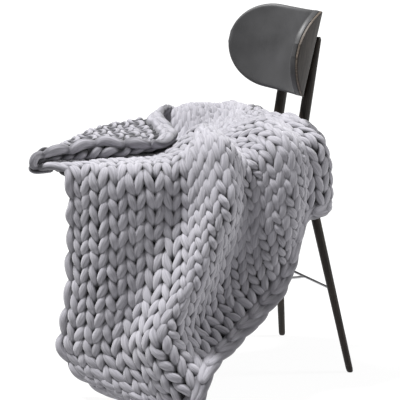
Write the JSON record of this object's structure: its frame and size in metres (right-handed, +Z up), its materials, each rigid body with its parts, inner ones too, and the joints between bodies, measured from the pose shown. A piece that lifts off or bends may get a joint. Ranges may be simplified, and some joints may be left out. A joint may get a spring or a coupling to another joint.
{
  "type": "chunky knit blanket draped over a chair",
  "caption": "Thick grey hand-knit blanket with one corner turned back, falling in deep folds over the seat of a tall wooden chair with a padded curved back.",
  "frame": {"origin": "centre of the bounding box, on the floor", "axes": "+Z up, the chair faces -X, the blanket's long fall is on the -Y side"},
  "size_m": [0.8884, 0.7442, 0.982],
  "materials": {
    "grey_roving": "matte",
    "dark_wood": "satin",
    "leg_wood": "satin",
    "ply": "satin",
    "black_leather": "satin",
    "steel": "satin"
  },
  "bodies": {
    "root": {"blanket": "grey_roving", "seat": "dark_wood", "back_shell": "ply", "back_pad": "black_leather", "leg_rear_near": "leg_wood", "leg_rear_far": "leg_wood", "leg_front_near": "leg_wood", "leg_front_far": "leg_wood", "rod_rear": "steel", "rod_front": "steel", "rod_centre": "steel"}
  },
  "joints": []
}
